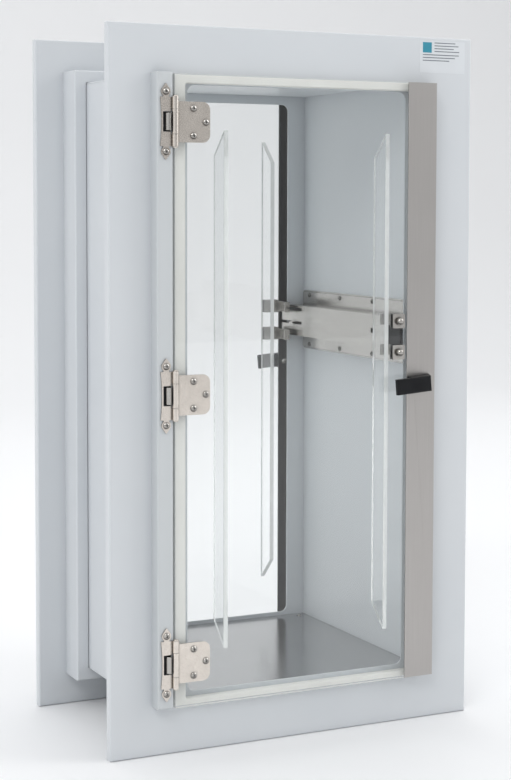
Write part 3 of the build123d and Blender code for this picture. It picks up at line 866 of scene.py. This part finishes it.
# ---- Screws ---------------------------------------------------------------------------------
@dataclass
class CrossScrew:
    """Domed screw with a cross recess and a threaded shank, drawn with its head along +Z."""

    head_radius: float = 3.4 * MM
    head_height: float = 2.0 * MM
    shank_radius: float = 1.9 * MM
    thread_depth: float = 0.35 * MM
    thread_pitch: float = 1.3 * MM
    recess_width: float = 0.8 * MM
    recess_length: float = 2.9 * MM
    recess_depth: float = 1.35 * MM
    seat_share: float = 0.97
    rim_share: float = 0.12
    dome_facets: int = 6
    round_facets: int = 20
    first_turn: float = 37.0
    next_turn: float = 71.0

    def build(self, name: str, length: float) -> Piece:
        """Turn the screw and cut its recess.

        Args:
            name: Name of the piece.
            length: Length of the shank below the head.

        Returns:
            The screw, with the underside of its head at the origin.
        """
        root = self.shank_radius - self.thread_depth
        profile = [(0.0, -length)]
        for index in range(max(1, int(length / self.thread_pitch))):
            foot = -length + index * self.thread_pitch
            profile += [(root, foot), (self.shank_radius, foot + self.thread_pitch / 2)]
        profile += [(root, 0.0), (self.head_radius * self.seat_share, 0.0)]
        profile.append((self.head_radius, self.head_height * self.rim_share))
        for step in range(1, self.dome_facets):
            turn = step / self.dome_facets * math.pi / 2
            rise = self.rim_share + (1 - self.rim_share) * math.sin(turn)
            profile.append((self.head_radius * math.cos(turn), self.head_height * rise))
        profile.append((0.0, self.head_height))
        screw = lathe(name, profile, self.round_facets)
        half_width, half_length = self.recess_width / 2, self.recess_length / 2
        top = self.head_height * 1.5
        foot = self.head_height - self.recess_depth
        for x, y in ((half_length, half_width), (half_width, half_length)):
            cut_out(screw, block("recess_cutter", (-x, -y, foot), (x, y, top)))
        smooth(screw)
        return screw

    def fit(self, name: str, node: str, outward: Vector, finish: Finish, body: str) -> None:
        """Put a screw in the place of each of a CAD node's, each turned by its own amount.

        Args:
            name: Name of the joined piece.
            node: The CAD node.
            outward: The way its screws' heads face.
            finish: The screws' finish.
            body: CAD body that they move with.
        """
        boxes = solid_boxes(node)
        axis = max(range(3), key=lambda index: abs(outward[index]))
        length = boxes[0][1][axis] - boxes[0][0][axis] - self.head_height
        template = self.build(f"{name}_template", length)
        upright = Vector((0, 0, 1)).rotation_difference(outward).to_matrix().to_4x4()
        screws = []
        for index, (low, high) in enumerate(boxes):
            middle = (low + high) / 2
            outer = high[axis] if outward[axis] > 0 else low[axis]
            middle[axis] = outer - self.head_height * outward[axis]
            angle = math.radians(self.first_turn + self.next_turn * index)
            turn = Matrix.Rotation(angle, 4, "Z")
            screws.append(placed_copy(template, Matrix.Translation(middle) @ upright @ turn))
        bpy.data.objects.remove(template)
        dress_piece(joined(name, screws), finish, body, (node,))


SMALL_SCREW = CrossScrew(
    head_radius=2.6 * MM,
    head_height=1.5 * MM,
    shank_radius=1.5 * MM,
    thread_depth=0.25 * MM,
    thread_pitch=1.0 * MM,
    recess_width=0.7 * MM,
    recess_depth=1.0 * MM,
)


# ---- Cabinet --------------------------------------------------------------------------------
@dataclass
class FoldedPan:
    """Pan folded from sheet: a plain face at the front with its rim turned to the rear."""

    node: str
    body: str
    opening: tuple[float, float, float, float]
    opening_corner: float
    sheet: float = 1.5 * MM
    bend: float = 2.0 * MM
    edge: float = 0.3 * MM
    bend_facets: int = 4
    corner_facets: int = 8

    def build(self) -> None:
        """Fold the pan in the place of its CAD node and cut its opening."""
        low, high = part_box(self.node)
        pan = block(f"{self.node}_pan", low, high)
        soften(pan, lambda a, b: max(a.y, b.y) < low.y + NEAR, self.bend, self.bend_facets)
        inside = [low[i] + self.sheet for i in range(3)]
        outside = (high.x - self.sheet, high.y + PAST, high.z - self.sheet)
        hollow = block("pan_hollow", inside, outside)
        soften(
            hollow,
            lambda a, b: max(a.y, b.y) < inside[1] + NEAR,
            self.bend - self.sheet,
            self.bend_facets - 1,
        )
        cut_out(pan, hollow)
        left, right, sill, head = self.opening
        mouth = block("pan_mouth", (left, low.y - PAST, sill), (right, high.y + PAST, head))
        if self.opening_corner:
            soften(
                mouth, lambda a, b: abs(a.y - b.y) > PAST, self.opening_corner, self.corner_facets
            )
        cut_out(pan, mouth)
        round_edges(pan, self.edge, 2)
        dress_piece(pan, Finish.PAINT, self.body, (self.node,))


@dataclass
class BlankLabel:
    """Plain data label with a colour block and bars where its lines would be."""

    width: float = 56 * MM
    height: float = 34 * MM
    side_gap: float = 8.5 * MM
    top_gap: float = 3.5 * MM
    film: float = 0.12 * MM
    patch: float = 11 * MM
    margin: float = 3.5 * MM
    bar: float = 0.9 * MM
    pitch: float = 3.0 * MM
    short_bars: tuple[float, ...] = (26 * MM, 30 * MM, 24 * MM, 31 * MM)
    long_bars: tuple[float, ...] = (45 * MM, 40 * MM, 33 * MM)

    def build(self) -> None:
        """Stick the label near the front flange's upper right corner."""
        low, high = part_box("front_flange")
        face, left = low.y, high.x - self.side_gap - self.width
        top = high.z - self.top_gap
        film = self.sticker("label_film", (left, top), (self.width, self.height), face)
        dress_piece(film, Finish.FILM, "cabinet")
        printed = face - self.film
        corner = (left + self.margin, top - self.margin / 2)
        patch = self.sticker("label_patch", corner, (self.patch, self.patch), printed)
        dress_piece(patch, Finish.BAND, "cabinet")
        beside = (corner[0] + self.patch + self.margin, corner[1])
        below = (corner[0], corner[1] - self.patch - self.margin / 2)
        bars = []
        for name, lengths, (x, z) in (
            ("short_bar", self.short_bars, beside),
            ("long_bar", self.long_bars, below),
        ):
            for index, length in enumerate(lengths):
                place = (x, z - index * self.pitch)
                bars.append(self.sticker(f"{name}_{index}", place, (length, self.bar), printed))
        dress_piece(joined("label_bars", bars), Finish.INK, "cabinet")

    def sticker(
        self, name: str, corner: tuple[float, float], size: tuple[float, float], face: float
    ) -> Piece:
        """Thin film on a face, from its upper left corner."""
        low = (corner[0], face - self.film, corner[1] - size[1])
        return block(name, low, (corner[0] + size[0], face, corner[1]))


@dataclass
class CabinetShell:
    """Painted body, front flange, ceiling and floor."""

    opening: tuple[float, float, float, float] = (-126 * MM, 126 * MM, 63 * MM, 677.5 * MM)
    opening_corner: float = 8 * MM
    sheet_edge: float = 0.5 * MM

    def dress(self) -> None:
        """Fold the flange, round and dress the sheets, and add the screws and the label."""
        FoldedPan("front_flange", "cabinet", self.opening, self.opening_corner).build()
        for node in ("rear_frame", "bottom_skin"):
            dress_node(node, Finish.PAINT)
        for node, finish in (
            ("left_skin", Finish.PAINT),
            ("right_skin", Finish.PAINT),
            ("left_liner", Finish.LINER_PAINT),
            ("right_liner", Finish.LINER_PAINT),
            ("floor_plate", Finish.FLOOR),
        ):
            dress_refined(node, self.sheet_edge, finish, "cabinet")
        top = dress_refined("top_panel", self.sheet_edge, Finish.PAINT, "cabinet")
        coat_faces(top, Finish.LINER_PAINT.material, lambda normal: normal.z < -0.5)
        upwards = Vector((0, 0, 1))
        SMALL_SCREW.fit("floor_cross_screws", "floor_screws", upwards, Finish.SCREW, "cabinet")
        BlankLabel().build()


@dataclass
class SlidingTrim:
    """Trim flange and collar that slide on the body."""

    body_gap: float = 0.6 * MM

    def dress(self) -> None:
        """Fold the trim flange and its collar round the body."""
        low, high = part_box("top_panel")
        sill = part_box("bottom_skin")[0].z
        gap = self.body_gap
        opening = (low.x - gap, high.x + gap, sill - gap, high.z + gap)
        for node in ("trim_flange", "trim_collar"):
            FoldedPan(node, "wall_flange", opening, 0.0).build()


# ---- Doors ----------------------------------------------------------------------------------
@dataclass
class DoorFrame:
    """What stands on one end face: hinge stile, magnet strip and seal ring."""

    end: End
    bar_edge: float = 0.6 * MM
    seal_side: float = 12.5 * MM
    seal_sill: float = 6.5 * MM
    seal_head: float = 8.5 * MM
    seal_round: float = 1.6 * MM
    seal_corner: float = 2.5 * MM
    seal_lip: float = 2.5 * MM

    def dress(self) -> None:
        """Dress the stile and magnet strip and build the seal."""
        for node, finish in (
            ("hinge_stile", Finish.STILE_PAINT),
            ("magnet_strip", Finish.MAGNET),
        ):
            dress_refined(f"{self.end.word}_{node}", self.bar_edge, finish, "cabinet")
        self.build_seal()

    def build_seal(self) -> None:
        """Build the seal as one rounded ring."""
        node = f"{self.end.word}_gasket"
        low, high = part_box(node)
        ring = block(f"{node}_ring", (low.x - self.seal_lip, low.y, low.z), high)
        hole_low = (low.x + self.seal_side, low.y - PAST, low.z + self.seal_sill)
        hole_high = (high.x - self.seal_side, high.y + PAST, high.z - self.seal_head)
        opening = block("seal_opening", hole_low, hole_high)
        soften(opening, lambda a, b: abs(a.y - b.y) > PAST, self.seal_corner, 4)
        cut_out(ring, opening)
        round_edges(ring, self.seal_round, 3)
        dress_piece(ring, Finish.SEAL, "cabinet", (node,))


@dataclass
class ClearDoor:
    """One clear door: panel, ribs, edge strip, pull and strikes."""

    end: End
    panel_edge: float = 0.5 * MM
    rib_edge: float = 0.35 * MM
    strip_edge: float = 0.3 * MM
    pull_edge: float = 1.3 * MM
    bracket_edge: float = 0.35 * MM
    bolt_edge: float = 0.25 * MM
    glue_line: float = 0.06 * MM
    side_face: float = 0.8

    def dress(self) -> None:
        """Round and dress each piece of the door."""
        word = self.end.word
        body = f"{word}_door"
        pieces = {}
        for node, edge, segments, finish in (
            ("door_panel", self.panel_edge, 2, Finish.CLEAR),
            ("door_ribs", self.rib_edge, 2, Finish.CLEAR),
            ("edge_strip", self.strip_edge, 2, Finish.STEEL_Z),
            ("pull", self.pull_edge, 4, Finish.BLACK),
            ("strikes", self.bracket_edge, 2, Finish.STEEL_Y),
            ("strike_bolts", self.bolt_edge, 2, Finish.SCREW),
        ):
            pieces[node] = dress_refined(f"{word}_{node}", edge, finish, body, segments)
        self.lift_ribs(pieces["door_ribs"])
        # The panel's and ribs' edge faces get the near-white edge finish, painted brightness for
        # the light along the acrylic's edges.
        for node, across in (("door_panel", "y"), ("door_ribs", "x")):
            coat_faces(
                pieces[node],
                Finish.CLEAR_EDGE.material,
                lambda normal, across=across: abs(getattr(normal, across)) < self.side_face,
            )
        node = f"{word}_pull_screw"
        inward = Vector((0, -self.end.way, 0))
        CrossScrew().fit(f"{word}_pull_cross_screw", node, inward, Finish.SCREW, body)

    def lift_ribs(self, piece: Piece) -> None:
        """Lift the ribs' foot clear of the panel by a glue line's thickness."""
        low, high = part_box(f"{self.end.word}_door_ribs")
        foot = high.y if self.end.way > 0 else low.y
        select_where(piece, "VERT", lambda place: abs(place.y - foot) < 0.02 * MM)
        bpy.ops.transform.translate(value=(0, -self.end.way * self.glue_line, 0))
        bpy.ops.object.mode_set(mode="OBJECT")


@dataclass
class HingeSet:
    """Three self-closing surface hinges of one door."""

    end: End
    plate_edge: float = 0.35 * MM
    tongue_thickness: float = 0.8 * MM
    tongue_edge: float = 0.2 * MM
    tongue_side_gap: float = 1.2 * MM
    tongue_start: float = 0.36
    tongue_lap: float = 0.2 * MM
    tongue_foot: float = 0.6 * MM
    tongue_rise: float = 3.4 * MM
    tongue_arc: float = 0.82 * math.pi
    tongue_facets: int = 8
    # Thickness of the black sheet that paints shade into each spring slot.
    slot_shade_depth: float = 0.35 * MM

    def dress(self) -> None:
        """Round the leaves, build the spring tongues and set the screws."""
        word = self.end.word
        outward = Vector((0, self.end.way, 0))
        leaves = (("frame_leaf", "cabinet"), ("door_leaf", f"{word}_door"))
        for level in ("upper", "middle", "lower"):
            for leaf, body in leaves:
                node = f"{word}_{level}_{leaf}"
                dress_refined(node, self.plate_edge, Finish.NICKEL, body)
        dress_node(f"{word}_hinge_pins", Finish.NICKEL)
        for leaf, body in leaves:
            node = f"{word}_{leaf}_screws"
            CrossScrew().fit(f"{node}_cross", node, outward, Finish.SCREW, body)
        self.build_tongues()

    def build_tongues(self) -> None:
        """Bend a spring tongue from each frame leaf's slot up against the barrel, over a black
        sheet that paints the slot's shade.
        """
        word, way = self.end.word, self.end.way
        node = f"{word}_hinge_springs"
        tongues, shade_sheets = [], []
        for index, (low, high) in enumerate(solid_boxes(node)):
            foot = low.y if way > 0 else high.y
            # A thin black sheet over the spring's footprint is painted shade for the dark inside
            # of the slot.
            base, lid = sorted((foot, foot + way * self.slot_shade_depth))
            shade_sheet = block(f"pocket_{index}", (low.x, base, low.z), (high.x, lid, high.z))
            shade_sheets.append(shade_sheet)
            start = low.x + self.tongue_start * (high.x - low.x)
            length = high.x - start + self.tongue_lap
            path = []
            for step in range(self.tongue_facets + 1):
                share = step / self.tongue_facets
                rise = math.sin(share * self.tongue_arc) * self.tongue_rise + self.tongue_foot
                path.append((start + share * length, foot + way * rise))
            steps = [(there[0] - here[0], there[1] - here[1], 0) for here, there in pairwise(path)]
            bottom, top = low.z + self.tongue_side_gap, high.z - self.tongue_side_gap
            tongue = strip(f"tongue_{index}", (*path[0], bottom), (0, 0, top - bottom), steps)
            apply_modifier(tongue, "SOLIDIFY", thickness=self.tongue_thickness, offset=0.0)
            round_edges(tongue, self.tongue_edge, 2)
            tongues.append(tongue)
        # The black sheets join into one piece of painted slot shade.
        slot_shade = joined(f"{word}_spring_pockets", shade_sheets)
        dress_piece(slot_shade, Finish.BLACK, "cabinet")
        piece = joined(f"{word}_spring_tongues", tongues)
        dress_piece(piece, Finish.SPRING, "cabinet", (node,))


# ---- Interlock ------------------------------------------------------------------------------
@dataclass
class Interlock:
    """Interlock on the right inner wall."""

    cover_edge: float = 0.4 * MM
    plate_edge: float = 0.3 * MM
    block_edge: float = 0.5 * MM
    bar_edge: float = 0.4 * MM
    sleeve_start: float = 27 * MM
    sleeve_length: float = 46 * MM
    sleeve_half_height: float = 18 * MM
    sleeve_thickness: float = 0.5 * MM
    sleeve_edge: float = 0.12 * MM
    hole: float = 5.4 * MM
    hole_place: float = 60 * MM

    def dress(self) -> None:
        """Round and dress the interlock's pieces."""
        for node, edge, finish, body in (
            ("cover", self.cover_edge, Finish.STEEL_Y, "cabinet"),
            ("back_plate", self.plate_edge, Finish.STEEL_Y, "cabinet"),
            ("guide_blocks", self.block_edge, Finish.BLACK, "cabinet"),
            ("slide_bar", self.bar_edge, Finish.BRIGHT, "interlock_bar"),
        ):
            dress_refined(f"interlock_{node}", edge, finish, body)
        dress_node("interlock_springs", Finish.SPRING)
        name, inward = "interlock_cross_screws", Vector((-1, 0, 0))
        SMALL_SCREW.fit(name, "interlock_screws", inward, Finish.DARK_SCREW, "cabinet")
        self.add_sleeve()

    def add_sleeve(self) -> None:
        """Lap a thin end sleeve over the front of the cover's face."""
        low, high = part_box("interlock_cover")
        middle = (low.z + high.z) / 2
        start, half_height = low.y + self.sleeve_start, self.sleeve_half_height
        sleeve = block(
            "interlock_end_sleeve",
            (low.x - self.sleeve_thickness, start, middle - half_height),
            (low.x, start + self.sleeve_length, middle + half_height),
        )
        hole_y, half = low.y + self.hole_place, self.hole / 2
        cutter = block(
            "sleeve_hole",
            (low.x - PAST, hole_y - half, middle - half),
            (low.x + PAST, hole_y + half, middle + half),
        )
        cut_out(sleeve, cutter)
        round_edges(sleeve, self.sleeve_edge, 1)
        dress_piece(sleeve, Finish.STEEL_Y, "cabinet")


# ---- Studio ---------------------------------------------------------------------------------
@dataclass(frozen=True)
class SoftBox:
    """Soft lamp: where it hangs, what it points at, width and height, power in watts."""

    name: str
    place: Point
    target: Point
    size: tuple[float, float]
    power: float

    def hang(self) -> None:
        """Add the lamp."""
        lamp = bpy.data.lights.new(self.name, "AREA")
        lamp.shape = "RECTANGLE"
        lamp.size, lamp.size_y = self.size
        lamp.energy = self.power
        holder = bpy.data.objects.new(self.name, lamp)
        holder.location = self.place
        aim = Vector(self.target) - Vector(self.place)
        holder.rotation_euler = aim.to_track_quat("-Z", "Y").to_euler()
        bpy.context.collection.objects.link(holder)


@dataclass
class Studio:
    """Plain white paper sweep, a soft sky and soft lamps."""

    half_width: float = 6.0
    front: float = -5.0
    back: float = 2.6
    bend: float = 1.2
    bend_facets: int = 12
    top: float = 5.0
    floor: float = -0.3 * MM
    sky_colour: Colour = (0.97, 0.985, 1.0, 1)
    sky_reach: tuple[float, float] = (-1.0, 0.15)
    sky_strength: tuple[float, float] = (0.42, 1.06)
    lamps: tuple[SoftBox, ...] = (
        SoftBox("key_box", (-2.3, -2.6, 3.0), (0, 0, 0.45), (1.8, 1.8), 37.0),
        SoftBox("fill_box", (2.6, -1.6, 1.9), (0, 0, 0.4), (1.6, 2.2), 22.0),
        SoftBox("back_box", (0.4, 2.2, 3.0), (0, 0.2, 0.4), (3.6, 2.0), 25.0),
    )

    def build(self) -> None:
        """Build the sweep, the sky and the lamps."""
        self.build_sweep()
        self.build_sky()
        for lamp in self.lamps:
            lamp.hang()

    def build_sweep(self) -> None:
        """Floor that curves up into a backdrop."""
        path = [(self.front, 0.0), (self.back, 0.0)]
        for step in range(1, self.bend_facets + 1):
            turn = step / self.bend_facets * math.pi / 2
            path.append((self.back + self.bend * math.sin(turn), self.bend * (1 - math.cos(turn))))
        path.append((self.back + self.bend, self.top))
        start = (-self.half_width, self.front, self.floor)
        steps = [(0, there[0] - here[0], there[1] - here[1]) for here, there in pairwise(path)]
        sweep = strip("studio_sweep", start, (2 * self.half_width, 0, 0), steps)
        edit_all(sweep)
        bpy.ops.mesh.normals_make_consistent(inside=True)
        bpy.ops.object.mode_set(mode="OBJECT")
        smooth(sweep)
        sweep.data.materials.append(StudioPaper().make())

    def build_sky(self) -> None:
        """Soft even sky, darker on the side that the viewer stands on."""
        world = bpy.data.worlds.new("soft_sky")
        bpy.context.scene.world = world
        world.use_nodes = True
        tree = world.node_tree
        tree.nodes.clear()
        way = add_node(tree, "TexCoord", {}).outputs["Generated"]
        inputs = {"Value": add_node(tree, "SeparateXYZ", {"Vector": way}).outputs["Y"]}
        inputs["From Min"], inputs["From Max"] = self.sky_reach
        inputs["To Min"], inputs["To Max"] = self.sky_strength
        strength = add_node(tree, "MapRange", inputs).outputs["Result"]
        sky = add_node(tree, "Background", {"Color": self.sky_colour, "Strength": strength})
        add_node(tree, "OutputWorld", {"Surface": sky.outputs["Background"]})


@dataclass
class CameraStand:
    """Camera to the left of the front door; angles in degrees, lens and sensor in mm."""

    place: Point = (-0.83562, -1.76206, 0.55992)
    turn: float = -26.334
    pitch: float = 3.864
    roll: float = 0.153
    lens: float = 81.34
    sensor: float = 36.0
    shift: tuple[float, float] = (-0.0191, -0.0867)
    clip: tuple[float, float] = (0.05, 60.0)

    def build(self) -> None:
        """Set up the camera."""
        turn, pitch, roll = (math.radians(v) for v in (self.turn, self.pitch, self.roll))
        level = Vector((math.cos(turn), math.sin(turn), 0))
        ahead = Vector((-math.sin(turn), math.cos(turn), 0))
        forward = ahead * math.cos(pitch) - Vector((0, 0, math.sin(pitch)))
        upright = level.cross(forward)
        right = level * math.cos(roll) + upright * math.sin(roll)
        up = right.cross(forward)
        camera = bpy.data.cameras.new("camera")
        camera.lens = self.lens
        camera.sensor_width = self.sensor
        camera.sensor_fit = "AUTO"
        camera.shift_x, camera.shift_y = self.shift
        camera.clip_start, camera.clip_end = self.clip
        stand = bpy.data.objects.new("camera", camera)
        turned = Matrix((right, up, -forward)).transposed().to_4x4()
        stand.matrix_world = Matrix.Translation(self.place) @ turned
        bpy.context.collection.objects.link(stand)
        bpy.context.scene.camera = stand


def main() -> None:
    """Build the whole scene, class by class."""
    logging.basicConfig(level=logging.INFO, format="%(name)s: %(message)s")
    CameraStand().build()
    CabinetShell().dress()
    SlidingTrim().dress()
    for end in End:
        DoorFrame(end).dress()
        ClearDoor(end).dress()
        HingeSet(end).dress()
    Interlock().dress()
    Studio().build()
    view = bpy.context.scene.view_settings
    view.view_transform = "Standard"
    deselect()


if __name__ == "__main__":
    main()
